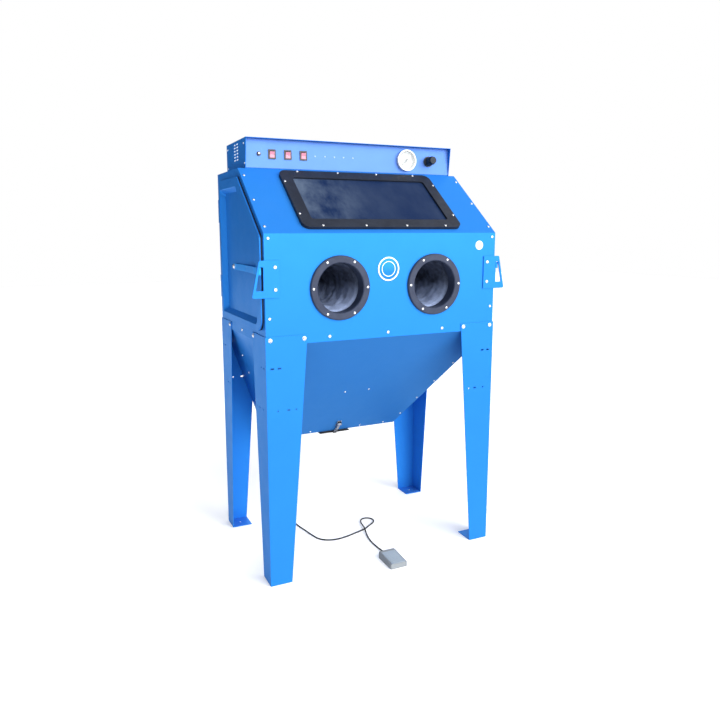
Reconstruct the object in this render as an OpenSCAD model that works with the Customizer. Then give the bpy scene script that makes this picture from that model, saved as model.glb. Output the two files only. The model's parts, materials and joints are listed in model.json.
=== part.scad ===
// Floor-standing blast cabinet: sheet body on four tapered legs, hopper, two side
// doors, sloped window, two glove ports, control console and foot switch.
// Millimetres. X to the right, Y to the back, Z up, origin on the floor under the centre.

/* [Body] */
// Width over the side sheets
body_w = 940; // [920:10:960]
// Depth over the front and rear sheets
body_d = 600; // [590:5:620]
// Height of the lower edge of the body
skirt_z = 882; // [872:2:892]
// Height of the fold between upright and sloped front
knee_z = 1260; // [1250:5:1270]
// Height of the top sheet
roof_z = 1498; // [1490:2:1506]
// Depth from the front sheet to the top of the slope
slope_run = 294; // [286:2:300]
// Thickness of the body sheets
sheet = 1.5; // [1.2:0.1:1.8]

/* [Hopper] */
// Height of the hopper bottom
drain_z = 384; // [374:2:394]
// Half width of the hopper bottom
drain_x = 301; // [291:2:311]
// Front and rear edge of the hopper bottom, from the middle
drain_y = [200, 290];
// Rear sheet wings reach this far back from the middle
lap_y = 150; // [140:2:160]

/* [Legs] */
// Flange width at the floor
leg_w0 = 80; // [76:1:84]
// Extra flange width for each millimetre of height
leg_taper = 0.0777; // [0.07:0.001:0.082]
// Height of the leg's upper end
leg_top = 912; // [908:1:916]
// Thickness of the leg sheet
leg_t = 2.5; // [2:0.5:3]

/* [Window] */
// Outer length of the rubber frame
win_w = 648; // [640:2:656]
// Outer height of the rubber frame, along the slope
win_h = 336; // [330:2:340]
// Width of the rubber border
win_border = 44; // [40:1:46]
// Thickness of the rubber frame
win_t = 12; // [10:1:14]

/* [Glove ports] */
// Distance of each port from the middle
port_x = 193; // [188:1:198]
// Height of the port centres
port_z = 1070; // [1065:1:1075]
// Outer radius of the port ring
ring_r = 114; // [112:1:116]
// Opening radius
port_r = 88; // [86:1:90]

/* [Side doors] */
// Clear edges left around the door: bottom, rear, top, slope, front
door_gap = [46, 50, 32, 18, 15];
// Thickness of the rubber gasket
gasket_t = 6; // [5:0.5:7]
// Height of the door's folded edge
door_lip = 4.5; // [4:0.5:5]
// Depth of the pressed dish
dish_depth = 20; // [16:1:20]
// Height of the handle bar's middle
handle_z = 1135; // [1130:1:1140]

/* [Console] */
// Half width of the console
con_x = 441; // [436:1:446]
// Front and rear of the console, from the middle
con_y = [-21, 254];
// Height of the console's top
con_z = 1608; // [1602:1:1614]
// Switch positions along the fascia
switch_x = [-336.5, -274, -211.5];
// Gauge position along the fascia
gauge_x = 236; // [230:1:245]
// Regulator position along the fascia
reg_x = 342; // [336:1:350]
// Height of the controls above the fascia's lower edge
ctl_v = 54; // [50:1:58]

/* [Foot switch] */
// Middle of the foot switch on the floor
ped = [15, -325];
// Width and depth of the foot switch
ped_w = 72; // [68:1:76]
ped_d = 104; // [100:1:108]
// Diameter of the cord
cord_d = 6; // [5:0.5:7]

/* [Hidden] */
$fn = 0;
hw = body_w / 2;
hd = body_d / 2;
slope_a = atan2(roof_z - knee_z, slope_run);
slope_l = norm([slope_run, roof_z - knee_z]);
top_y = -hd + slope_run;
win_s = slope_l / 2;
run_t = sheet / sin(slope_a);                     // slope sheet measured along Y
knee_in = knee_z - sheet * tan(slope_a / 2);      // inside of the fold
fascia_y = con_y[0] + 14.5;
fascia_a = atan2(6.5, con_z - roof_z);
lip_x = -hw - gasket_t - door_lip;                // outer face of the left door's rim
hinge = [-hw - 7, 258];                           // door hinge axis, left
hinge_z = [1050, 1350];
handle_y = 95;                                    // handle pivot
keep_t = 4;
fan_x = 250;
fan_z = 1400;
fan_r = 49.5;
gland = [-240, 985];
bolt_z = 900;
blue = [0.20, 0.62, 1.0];
black = [0.12, 0.12, 0.13];
zinc = [0.85, 0.86, 0.88];

// ---------- shapes and placing ----------

// Extrude a profile drawn in (Y, Z) from x0 to x1.
module yz(x0, x1) translate([x0, 0, 0]) rotate([90, 0, 90]) linear_extrude(x1 - x0) children();
// Extrude a profile drawn in (X, Z) from y0 to y1.
module xz(y0, y1) translate([0, y1, 0]) rotate([90, 0, 0]) linear_extrude(y1 - y0) children();
module box(a, b) translate(a) cube(b - a);
module rod_x(x0, x1, r) translate([x0, 0, 0]) rotate([0, 90, 0]) cylinder(h = x1 - x0, r = r);
module rod_y(y0, y1, r) translate([0, y1, 0]) rotate([90, 0, 0]) cylinder(h = y1 - y0, r = r);
module rrect(w, h, r) {
    square([w - 2 * r, h], center = true);
    square([w, h - 2 * r], center = true);
    for (x = [-1, 1], y = [-1, 1]) translate([x * (w / 2 - r), y * (h / 2 - r)]) circle(r);
}
module slot2(l, w) {
    square([l - w, w], center = true);
    for (x = [-1, 1]) translate([x * (l - w) / 2, 0]) circle(w / 2);
}
module right(s) { if (s > 0) mirror([1, 0, 0]) children(); else children(); }
module both() { children(); mirror([1, 0, 0]) children(); }
// Frame on the sloped front: x, distance up the slope, distance out of it.
module on_slope() translate([0, -hd, knee_z]) rotate([slope_a, 0, 0]) children();
// Frame on the console fascia.
module on_fascia(x = 0, v = 0) translate([0, fascia_y, roof_z]) rotate([90 - fascia_a, 0, 0])
    translate([x, v, 0]) children();
// Frame on the hopper's front sheet, from its bottom edge up.
module on_hopper() translate([0, drain_y[0], drain_z])
    rotate([180 - atan2(skirt_z + 2 - drain_z, drain_y[0] + hd - sheet), 0, 0]) children();

function unit(v) = v / norm(v);
function corner(p, v, n, r, k) = let (a = unit(p - v), b = unit(n - v), h = acos(a * b) / 2,
    c = v + unit(a + b) * r / sin(h), s = v + a * r / tan(h) - c, e = v + b * r / tan(h) - c,
    t = atan2(s[1], s[0]), d0 = atan2(e[1], e[0]) - t,
    d = d0 > 180 ? d0 - 360 : d0 < -180 ? d0 + 360 : d0)
    [for (i = [0 : k]) c + r * [cos(t + d * i / k), sin(t + d * i / k)]];
// Polygon with a round at each corner.
function rounded(p, r, k = 6) = let (n = len(p)) [for (i = [0 : n - 1])
    for (q = r[i] > 0 ? corner(p[(i + n - 1) % n], p[i], p[(i + 1) % n], r[i], k) : [p[i]]) q];
// Polygon with each edge moved inwards by its own distance.
function inset(p, d) = let (n = len(p)) [for (i = [0 : n - 1]) let (j = (i + n - 1) % n,
    u = unit(p[i] - p[j]), w = unit(p[(i + 1) % n] - p[i]), a = p[i] + [-u[1], u[0]] * d[j],
    b = p[i] + [-w[1], w[0]] * d[i], q = b - a,
    t = (q[0] * w[1] - q[1] * w[0]) / (u[0] * w[1] - u[1] * w[0])) a + u * t];
function plus(a, k) = [for (v = a) v + k];

// ---------- screws ----------

module pan(r = 4.5) {
    cylinder(h = 1.4, r = r);
    translate([0, 0, 1.4]) cylinder(h = 1.2, r1 = r, r2 = r * 0.6);
}
module pan_shank(r = 4.5, l = 5, s = 2) {
    pan(r);
    translate([0, 0, -l]) cylinder(h = l + 0.5, r = s);
}
module hex(f, h) cylinder(h = h, r = f / sqrt(3), $fn = 6);
module leg_bolt() {
    cylinder(h = 1.5, r = 7.5);
    translate([0, 0, 1.5]) cylinder(h = 3, r1 = 6.5, r2 = 3.5);
    translate([0, 0, -14]) cylinder(h = 14.5, r = 2.95);
    translate([0, 0, -13]) hex(10, 5);
}
leg_bolt_x = [hw - 15, hw - 139];
leg_bolt_y = hd - 137;
module at_leg_bolts() {
    for (x = leg_bolt_x, s = [-1, 1]) {
        translate([s * x, -hd - leg_t, bolt_z]) rotate([90, 0, 0]) children();
        translate([s * x, hd + leg_t, bolt_z]) rotate([-90, 0, 0]) children();
    }
    for (y = [-1, 1] * leg_bolt_y) {
        translate([hw + leg_t, y, bolt_z]) rotate([0, 90, 0]) children();
        translate([-hw - leg_t, y, bolt_z]) rotate([0, -90, 0]) children();
    }
}
module leg_bolt_holes() at_leg_bolts() translate([0, 0, -20]) cylinder(h = 30, r = 3.2);
module leg_bolts() color(zinc) at_leg_bolts() leg_bolt();

win_screw = [for (x = [-1.5, -0.5, 0.5, 1.5], s = [-1, 1]) [x * 166.4, win_s + s * 161],
    for (x = [-1, 1], s = [-1, 1]) [x * (win_w / 2 - 8), win_s + s * 96]];
port_screw = [for (s = [-1, 1], a = [0 : 60 : 300]) [s * port_x + 104 * cos(a), port_z + 104 * sin(a)]];
module at_ports(y) for (p = port_screw) translate([p[0], y, p[1]]) rotate([90, 0, 0]) children();
module trim_screws() color(zinc) {
    on_slope() for (p = win_screw) translate([p[0], p[1], win_t + 0.03]) pan_shank(4.6, win_t + 6);
    at_ports(-hd - 10) pan_shank(4.6, 16);
}
edge_s = [37, 185, 332];
hop_in = 14;
function hop_x(z) = drain_x + (hw - sheet - drain_x) * (z - drain_z) / (skirt_z + 2 - drain_z);
function hop_s(z) = (z - drain_z) / sin(atan2(skirt_z + 2 - drain_z, drain_y[0] + hd - sheet));
module panel_screws() color(zinc) {
    both() {
        on_slope() for (s = edge_s) translate([hw - 13, s, 0]) pan(5);
        for (z = [974, 1244]) translate([hw - 15, -hd, z]) rotate([90, 0, 0]) pan(5);
        for (z = [1072, 1148]) translate([hw - 37, -hd - keep_t, z]) rotate([90, 0, 0])
            pan_shank(6, 12, 2.5);
        translate([234, -hd, bolt_z]) rotate([90, 0, 0]) pan(5.5);
        translate([234, hd, bolt_z]) rotate([-90, 0, 0]) pan(5.5);
        translate([hw, -6, bolt_z]) rotate([0, 90, 0]) pan(5.5);
        for (p = [[-3, 1516], [6, 1588], [235, 1516], [235, 1588]])
            translate([con_x, p[0], p[1]]) rotate([0, 90, 0]) pan(3.5);
        on_hopper() {
            for (z = [442, 535, 628, 722, 812]) translate([hop_x(z) - hop_in, hop_s(z), 0]) pan(4);
            for (x = [121, 241]) translate([x, 17, 0]) pan(4);
            translate([54, hop_s(621), 0]) pan(4);
        }
        for (p = [[lap_y - 13, 590, 0], [lap_y - 13, 700, 0], [lap_y - 13, 774, 0],
            [219, 558, 1.56], [275, 659, 1.56]]) translate([hop_x(p[1]) - p[2], p[0], p[1]])
            rotate([0, 90 + atan2(hw - sheet - drain_x, skirt_z + 2 - drain_z), 0]) pan(4);
        for (z = [980, 1190, 1400]) translate([hw - 15, hd, z]) rotate([-90, 0, 0]) pan(5);
    }
    for (q = [-1, 1]) translate([0, q * hd, bolt_z]) rotate([-q * 90, 0, 0]) pan(5.5);
}

// ---------- body ----------

side_pts = [[-hd, skirt_z], [hd, skirt_z], [hd, roof_z], [top_y, roof_z], [-hd, knee_z]];
door_pts = inset(side_pts, door_gap);
door_rad = [45, 15, 15, 12, 30];
open_pts = inset(side_pts, [64, 66, 58, 44, 42]);
dish_gap = [66, 68, 66, 56, 60];

module front_panel() color(blue) difference() {
    yz(-hw, hw) polygon([[-hd, skirt_z], [-hd, knee_z], [top_y, roof_z], [top_y + run_t, roof_z],
        [-hd + sheet, knee_in], [-hd + sheet, skirt_z]]);
    on_slope() translate([0, win_s, -20]) linear_extrude(40) rrect(540, 228, 12);
    for (s = [-1, 1]) translate([s * port_x, 0, port_z]) rod_y(-hd - 5, -hd + 10, ring_r - 20.8);
    on_slope() for (p = win_screw) translate([p[0], p[1], -8]) cylinder(h = 16, r = 2.2);
    at_ports(-hd) translate([0, 0, -6]) cylinder(h = 12, r = 2.2);
    for (x = [-1, 1] * (hw - 37), z = [1072, 1148]) translate([x, 0, z]) rod_y(-hd - 5, -hd + 5, 2.8);
    leg_bolt_holes();
}
// Side sheet with its door opening and the flanges behind the front sheet.
module side_frame(s) color(blue * 0.9) right(s) difference() {
    union() {
        difference() {
            yz(-hw, -hw + sheet) polygon([[-hd + sheet, skirt_z], [hd, skirt_z], [hd, roof_z],
                [top_y + run_t, roof_z], [-hd + sheet, knee_in]]);
            yz(-hw - 1, -hw + 3) polygon(rounded(open_pts, [30, 10, 10, 8, 25]));
        }
        box([-hw, -hd + sheet, leg_top + 2], [-hw + 24, -hd + 2 * sheet, knee_z - 8]);
        on_slope() box([-hw, 8, -2 * sheet], [-hw + 24, slope_l - 8, -sheet]);
        box([-hw, hd - 2 * sheet, leg_top + 2], [-hw + 24, hd - sheet, roof_z - 6]);
    }
    leg_bolt_holes();
}
module side_frame_left() side_frame(-1);
module side_frame_right() side_frame(1);
module top_panel() color(blue)
    box([-hw + sheet, top_y + run_t + 0.05, roof_z - sheet], [hw - sheet, hd - sheet, roof_z]);
module rear_panel() color(blue * 0.85) difference() {
    box([-hw + sheet, hd - sheet, skirt_z], [hw - sheet, hd, roof_z]);
    translate([fan_x, 0, fan_z]) rod_y(hd - 5, hd + 5, 46);
    translate([gland[0], 0, gland[1]]) rod_y(hd - 5, hd + 5, 8.2);
    leg_bolt_holes();
}

// ---------- hopper ----------

// The hopper's outside, with its front, rear and sides moved in by f, r and s.
module hop(f, r, s, e = 0) {
    z = [drain_z - e, skirt_z + 2 + e];
    u = [for (k = z) (k - drain_z) / (skirt_z + 2 - drain_z)];
    x = [for (k = z) hop_x(k) - s * 1.055];
    y0 = [for (k = u) drain_y[0] - (drain_y[0] + hd - sheet) * k + f * 1.4142];
    y1 = [for (k = u) drain_y[1] + (hd - sheet - drain_y[1]) * k - r];
    intersection() {
        yz(-hw - 20, hw + 20) polygon([[y0[0], z[0]], [y1[0], z[0]], [y1[1], z[1]], [y0[1], z[1]]]);
        xz(-hd - 20, hd + 20) polygon([[-x[0], z[0]], [x[0], z[0]], [x[1], z[1]], [-x[1], z[1]]]);
    }
}
module hopper_front() color(blue * 0.8) difference() {
    union() {
        difference() { hop(0, 0, 0); hop(sheet, -9, -9, 2); }
        box([-hw + 26, -hd + sheet, skirt_z], [hw - 26, -hd + 2 * sheet, leg_top]);
    }
    leg_bolt_holes();
}
// Rear sheet with a wing folded round each side, under the side sheets.
module hopper_rear() color(blue * 0.7) difference() {
    union() {
        difference() { hop(sheet, 0, sheet); hop(sheet - 9, sheet, sheet - 9, 2); }
        intersection() {
            difference() { hop(sheet, sheet, sheet + 0.02); hop(sheet - 9, sheet - 9, 2 * sheet, 2); }
            box([-hw, lap_y - 24, drain_z - 10], [hw, hd, skirt_z + 10]);
        }
        box([-hw + 26, hd - 2 * sheet, skirt_z], [hw - 26, hd - sheet, leg_top]);
    }
    leg_bolt_holes();
}
module hopper_side(s) color(blue * 0.75) right(s) difference() {
    union() {
        intersection() {
            difference() { hop(sheet, 0, 0); hop(sheet - 9, -9, sheet, 2); }
            box([-hw, -hd, drain_z - 10], [0, lap_y, skirt_z + 10]);
        }
        box([-hw + sheet, -hd + 30, skirt_z + 0.5], [-hw + 2 * sheet, lap_y, leg_top]);
    }
    leg_bolt_holes();
}
module hopper_left() hopper_side(-1);
module hopper_right() hopper_side(1);
module hopper_bottom() color(blue * 0.7) difference() {
    intersection() {
        hop(sheet, sheet, 2 * sheet);
        box([-hw, -hd, drain_z], [hw, hd, drain_z + sheet]);
    }
    box([-50, 216, drain_z - 5], [50, 274, drain_z + 5]);
}
drain_ax = [297, drain_z - 5];                    // drain hinge axis, Y and Z
latch_s = 68;                                     // latch pivot up the hopper's front
latch_t = 8;
// Drain hinge leaf with its pin, and the latch's base.
module drain_fittings() color(zinc) {
    for (x = [-46, 46]) {
        box([x - 9, drain_y[1] + 0.7, drain_z - 3], [x + 9, drain_y[1] + 2.7, drain_z + 28]);
        translate([0, drain_ax[0], drain_ax[1]]) rod_x(x - 9, x + 9, 4);
        box([x - 9, drain_y[1] + 0.7, drain_z - 5], [x + 9, drain_ax[0], drain_z - 3.2]);
    }
    translate([0, drain_ax[0], drain_ax[1]]) rod_x(-56, 56, 2);
    on_hopper() {
        difference() {
            union() {
                box([-10, 46, 0.05], [10, 84, 2]);
                for (x = [-10, 8.5]) box([x, latch_s - 7, 0.05], [x + 1.5, latch_s + 7, latch_t + 5]);
            }
            for (y = [51, 80]) translate([0, y, -1]) cylinder(h = 5, r = 1.8);
        }
        translate([0, latch_s, latch_t]) rod_x(-10.6, 10.6, 2.2);
    }
}

// ---------- legs ----------

module leg_holes(y) {
    for (x = [20, 46]) translate([x, 801]) slot2(14, 6);
    translate([77, 650]) slot2(12, 6);
    for (x = [38, 105]) translate([x, 650]) circle(3);
}
// L-section leg for the front left corner, with its foot plate.
module leg() {
    difference() {
        xz(-hd - leg_t, -hd) difference() {
            polygon([[-hw - leg_t, 0], [-hw + leg_w0, 0], [-hw + leg_w0 + leg_taper * leg_top, leg_top],
                [-hw - leg_t, leg_top]]);
            translate([-hw, 0]) leg_holes();
        }
        leg_bolt_holes();
    }
    difference() {
        yz(-hw - leg_t, -hw) difference() {
            polygon([[-hd - leg_t, 0], [-hd + leg_w0, 0], [-hd + leg_w0 + leg_taper * leg_top, leg_top],
                [-hd - leg_t, leg_top]]);
            translate([-hd, 0]) leg_holes();
        }
        leg_bolt_holes();
    }
    difference() {
        box([-hw - 1, -hd - 1, 0], [-hw + leg_w0, -hd + leg_w0, 3]);
        translate([-hw + leg_w0 / 2, -hd + leg_w0 / 2, -1]) cylinder(h = 5, r = 5.5);
    }
}
module leg_front_left() color(blue) leg();
module leg_front_right() color(blue) mirror([1, 0, 0]) leg();
module leg_rear_left() color(blue) mirror([0, 1, 0]) leg();
module leg_rear_right() color(blue) mirror([1, 0, 0]) mirror([0, 1, 0]) leg();

// ---------- window ----------

module window_frame() color(black) on_slope() difference() {
    translate([0, win_s, 0.02]) {
        difference() {
            linear_extrude(win_t) difference() {
                rrect(win_w, win_h, 30);
                rrect(win_w - 2 * win_border, win_h - 2 * win_border, 12);
            }
            translate([0, 0, -1]) linear_extrude(6.2) rrect(604, 292, 10);
        }
    }
    for (p = win_screw) translate([p[0], p[1], -1]) cylinder(h = win_t + 2, r = 2.1);
}
module window_glass() color([0.3, 0.4, 0.5, 0.5]) on_slope()
    translate([0, win_s, 0.05]) linear_extrude(5) rrect(600, 288, 8);

// ---------- glove ports ----------

module port_rings() color(black) for (s = [-1, 1]) difference() {
    translate([s * port_x, -hd, port_z]) rotate([90, 0, 0]) rotate_extrude()
        polygon([[port_r, -34], [port_r + 4, -34], [port_r + 4, 0], [ring_r, 0], [ring_r, 7],
            [ring_r - 3, 10], [port_r + 3, 10], [port_r, 7]]);
    at_ports(-hd) translate([0, 0, -2]) cylinder(h = 16, r = 2.1);
}
// Sleeve and mitten shell, open at the port.
module gloves() color(black * 1.6) for (s = [-1, 1]) translate([s * port_x, -hd, port_z])
    rotate([90, 0, 0]) rotate_extrude()
        polygon([[port_r + 4.2, -10], [port_r + 4.2, -34.5], [port_r - 3, -60], [77, -180], [70, -300],
            [66, -380], [52, -440], [30, -470], [0, -478], [0, -481], [32, -473], [55, -442],
            [69, -380], [73, -300], [80, -180], [port_r, -60], [port_r + 7, -35], [port_r + 7, -10]]);
module glove_clamps() color(zinc) for (s = [-1, 1]) translate([s * port_x, -hd, port_z]) {
    difference() {
        rod_y(14, 26, port_r + 8.6);
        rod_y(13, 27, port_r + 7.05);
    }
    box([-9, 13, port_r + 8], [9, 27, port_r + 16]);
}

// ---------- keepers ----------

module keepers() color(blue) both() difference() {
    xz(-hd - keep_t, -hd) difference() {
        polygon(rounded([[hw - 53, 1045], [hw + 46, 1045], [hw + 19, 1171], [hw - 53, 1171]],
            [3, 6, 6, 3], 4));
        polygon(rounded([[hw + 4.5, 1070], [hw + 31.5, 1070], [hw + 16.2, 1149], [hw + 4.5, 1149]],
            [2, 2, 2, 2], 3));
    }
    for (z = [1072, 1148]) translate([hw - 37, 0, z]) rod_y(-hd - 9, -hd + 5, 2.8);
}

// ---------- inside ----------

module grate_rails() color(blue * 0.6) {
    box([-440, -hd + 3.2, 916], [440, -hd + 5.2, 940]);
    box([-440, -hd + 3.2, 914], [440, -hd + 30, 916]);
    box([-440, hd - 5.2, 916], [440, hd - 3.2, 940]);
    box([-440, hd - 30, 914], [440, hd - 3.2, 916]);
}
module work_grate() color(zinc * 0.7) {
    for (y = [-280 : 28 : 280]) translate([0, y, 924]) rod_x(-438, 438, 3);
    for (x = [-435, -145, 145, 435]) box([x - 3, -286, 916.1], [x + 3, 286, 923]);
}
module lamp_fitting() color([0.95, 0.95, 0.95]) {
    box([-320, 60, roof_z - 24], [320, 120, roof_z - 1.6]);
    for (x = [-320, 306]) box([x, 76, roof_z - 58], [x + 14, 104, roof_z - 24]);
}
module lamp_tube() color([1, 1, 0.95]) translate([0, 90, roof_z - 44]) rod_x(-305.9, 305.9, 12);

// ---------- console ----------

module vents() for (y = [99, 134], k = [0 : 5]) translate([y, 1538 + 11.4 * k]) slot2(28, 5.5);
module console_shell() color(blue * 0.85) difference() {
    union() {
        box([-con_x, con_y[0], con_z - sheet], [con_x, con_y[1], con_z]);
        both() yz(-con_x, -con_x + sheet) polygon([[fascia_y - 2, roof_z], [con_y[1], roof_z],
            [con_y[1], con_z], [con_y[0], con_z]]);
        box([-con_x, con_y[1] - sheet, roof_z], [con_x, con_y[1], con_z]);
        box([-con_x, fascia_y, roof_z], [con_x, fascia_y + 22, roof_z + sheet]);
    }
    yz(-con_x - 5, -con_x + 5) vents();
    yz(con_x - 5, con_x + 5) vents();
    translate([reg_x, 0, 1552]) rod_y(con_y[1] - 5, con_y[1] + 5, 7.5);
    translate([-reg_x, 0, 1552]) rod_y(con_y[1] - 5, con_y[1] + 5, 10.4);
}
module console_fascia() color([0.55, 0.75, 1]) difference() {
    on_fascia() translate([0, 0, -sheet]) linear_extrude(sheet) difference() {
        translate([-con_x + sheet + 0.2, 2.6]) square([2 * (con_x - sheet - 0.2), 106]);
        for (x = switch_x) translate([x, ctl_v]) square([22.4, 28.4], center = true);
        translate([-388, ctl_v]) circle(4.6);
        translate([reg_x, ctl_v]) circle(9.2);
    }
}
module switch_bezels() color(black) for (x = switch_x) on_fascia(x, ctl_v) difference() {
    union() {
        translate([0, 0, 0.02]) linear_extrude(2.6) rrect(30, 36, 2.5);
        translate([0, 0, -16]) linear_extrude(16.5) square([22, 28], center = true);
    }
    translate([0, 0, -12]) linear_extrude(20) square([19.4, 25.4], center = true);
}
// Rocker with two faces, turning on an axis across the switch.
module rocker(x) color([0.95, 0.3, 0.25]) on_fascia(x, ctl_v) translate([0, 0, -4]) rotate([9, 0, 0])
    difference() {
        rotate([90, 0, 90]) translate([0, 0, -9.2]) linear_extrude(18.4)
            polygon([[-11.2, 3], [-11.2, 9.6], [0, 7.6], [11.2, 9.6], [11.2, 3], [5, -6], [-5, -6]]);
        rod_x(-12, 12, 1.55);
    }
module rocker_1() rocker(switch_x[0]);
module rocker_2() rocker(switch_x[1]);
module rocker_3() rocker(switch_x[2]);
module fuse_holder() color(zinc) on_fascia(-388, ctl_v) {
    translate([0, 0, 0.02]) cylinder(h = 2.5, r = 8);
    cylinder(h = 9, r = 5.2);
    translate([0, 0, -18]) cylinder(h = 19, r = 4.4);
}
module gauge_case() color([0.93, 0.93, 0.9]) on_fascia(gauge_x, ctl_v) difference() {
    union() {
        translate([0, 0, 0.02]) cylinder(h = 11, r = 40.5);
        translate([0, 0, 9]) cylinder(h = 5, r = 42);
    }
    translate([0, 0, 3]) cylinder(h = 20, r = 37);
}
module gauge_dial() color([1, 1, 1]) on_fascia(gauge_x, ctl_v) translate([0, 0, 3.02]) {
    cylinder(h = 0.8, r = 36.8);
    cylinder(h = 3.6, r = 1.2);
}
module gauge_needle() color(black) on_fascia(gauge_x, ctl_v) rotate([0, 0, 225]) difference() {
    union() {
        translate([0, 0, 4.6]) linear_extrude(0.8)
            polygon([[-9, -1.8], [0, -1.6], [30, -0.4], [30, 0.4], [0, 1.6], [-9, 1.8]]);
        translate([0, 0, 4.3]) cylinder(h = 1.8, r = 4);
    }
    translate([0, 0, 4]) cylinder(h = 3, r = 1.26);
}
module gauge_lens() color([0.9, 0.95, 1, 0.4]) on_fascia(gauge_x, ctl_v)
    translate([0, 0, 9.5]) cylinder(h = 1.5, r = 36.95);
module regulator_body() color(black) on_fascia(reg_x, ctl_v) {
    translate([0, 0, 0.02]) cylinder(h = 6, r = 21);
    translate([0, 0, 6]) cylinder(h = 4, r1 = 19, r2 = 16.5);
    translate([0, 0, 9]) cylinder(h = 22, r = 5);
    translate([0, 0, -50]) cylinder(h = 51, r = 9);
    translate([0, 0, -60]) cylinder(h = 38, r = 20);
}
module regulator_knob() color(black) on_fascia(reg_x, ctl_v) difference() {
    union() {
        translate([0, 0, 11]) cylinder(h = 22, r = 17);
        translate([0, 0, 33]) cylinder(h = 10, r1 = 17, r2 = 14);
    }
    translate([0, 0, 10]) cylinder(h = 22, r = 5.06);
    for (a = [0 : 30 : 330]) rotate([0, 0, a]) translate([18.2, 0, 14]) cylinder(h = 30, r = 2.4);
}

// ---------- services at the back ----------

module exhaust_spigot() color(blue * 0.7) translate([fan_x, 0, fan_z]) difference() {
    union() {
        rod_y(hd + 0.02, hd + 3, 70);
        rod_y(hd + 0.02, hd + 63, fan_r);
    }
    rod_y(hd - 1, hd + 70, fan_r - 2);
    for (a = [45 : 90 : 315]) translate([60 * cos(a), 0, 60 * sin(a)]) rod_y(hd - 1, hd + 5, 2.6);
}
module air_inlet() color([0.8, 0.68, 0.4]) translate([reg_x, con_y[1], 1552]) difference() {
    union() {
        rotate([-90, 0, 0]) translate([0, 0, 0.02]) hex(19, 9);
        rod_y(-12, 1, 7);
        rod_y(8, 29, 5);
        translate([0, 28.9, 0]) rotate([-90, 0, 0]) cylinder(h = 3, r1 = 5, r2 = 4.2);
    }
    rod_y(-13, 33, 2.5);
}
module mains_inlet() color(black) translate([-reg_x, con_y[1], 1552]) {
    difference() {
        translate([0, 3, 0]) xz(-2.98, 0) rrect(36, 36, 4);
        for (x = [-13, 13], z = [-13, 13]) translate([x, 0, z]) rod_y(-1, 4, 1.7);
    }
    rod_y(-14, 1, 10);
    rod_y(2, 15, 11.5);
    for (a = [90, 210, 330]) translate([5.5 * cos(a), 0, 5.5 * sin(a)]) rod_y(14, 24, 1.6);
}
module cord_gland() color(black) translate([gland[0], hd, gland[1]]) difference() {
    union() {
        rotate([-90, 0, 0]) translate([0, 0, 0.02]) hex(22, 6);
        rod_y(-10, 1, 7.8);
        translate([0, 6, 0]) rotate([-90, 0, 0]) cylinder(h = 9, r1 = 9.5, r2 = 6);
        rotate([-90, 0, 0]) translate([0, 0, -9]) hex(22, 5);
    }
    rod_y(-11, 16, cord_d / 2 + 0.6);
}

// ---------- side doors ----------

module leaf_knuckles(odd) for (zc = hinge_z, k = [0 : 4]) if (k % 2 == odd)
    translate([0, 0, zc - 45 + 18 * k + 0.25]) children();
module door_hinges() color(blue * 0.8) both() {
    for (zc = hinge_z) {
        box([-hw - 2, 264, zc - 45], [-hw - 0.02, 290, zc + 45]);
        translate([hinge[0], hinge[1], zc - 46]) cylinder(h = 92, r = 2.5);
    }
    leaf_knuckles(0) {
        translate([hinge[0], hinge[1], 0]) cylinder(h = 17.5, r = 5);
        box([-hw - 4.5, 258, 0], [-hw - 0.02, 264.5, 17.5]);
    }
}
module frustum(o1, o2, x1, x2) hull() {
    yz(x1, x1 + 0.01) polygon(o1);
    yz(x2 - 0.01, x2) polygon(o2);
}
function dish(k) = rounded(inset(side_pts, plus(dish_gap, k)), [24, 12, 12, 10, 20]);
// Pressed door pan for the left side, with its hinge straps.
module door(s) color(blue * 0.75) right(s) difference() {
    union() {
        difference() {
            union() {
                yz(lip_x, lip_x + sheet) polygon(rounded(door_pts, door_rad));
                difference() {
                    yz(lip_x, -hw - gasket_t) polygon(rounded(door_pts, door_rad));
                    yz(lip_x - 1, -hw) polygon(rounded(inset(door_pts, [1, 1, 1, 1, 1] * sheet),
                        plus(door_rad, -sheet)));
                }
                frustum(dish(-2), dish(14), lip_x, lip_x + dish_depth + sheet);
            }
            frustum(dish(0), dish(16), lip_x - 0.01, lip_x + dish_depth);
        }
        for (zc = hinge_z) box([lip_x - 1.6, 234, zc - 45], [lip_x + 0.5, 252, zc + 45]);
        leaf_knuckles(1) {
            translate([hinge[0], hinge[1], 0]) cylinder(h = 17.5, r = 5);
            box([lip_x - 1.6, 251, 0], [lip_x + 1, 258, 17.5]);
        }
    }
    for (zc = hinge_z) translate([hinge[0], hinge[1], zc - 50]) cylinder(h = 100, r = 2.55);
    translate([0, handle_y, handle_z]) rod_x(lip_x, lip_x + 40, 4.3);
}
module door_left() door(-1);
module door_right() door(1);
module gasket(s) color(black) right(s) yz(-hw - gasket_t + 0.02, -hw - 0.02) difference() {
    polygon(rounded(inset(door_pts, [1, 1, 1, 1, 1]), plus(door_rad, -1)));
    polygon(rounded(inset(door_pts, [1, 1, 1, 1, 1] * 15), [30, 4, 4, 3, 18]));
}
module gasket_left() gasket(-1);
module gasket_right() gasket(1);
bar_x = lip_x + dish_depth - 3;                   // inner face of the bar in the dish
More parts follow.
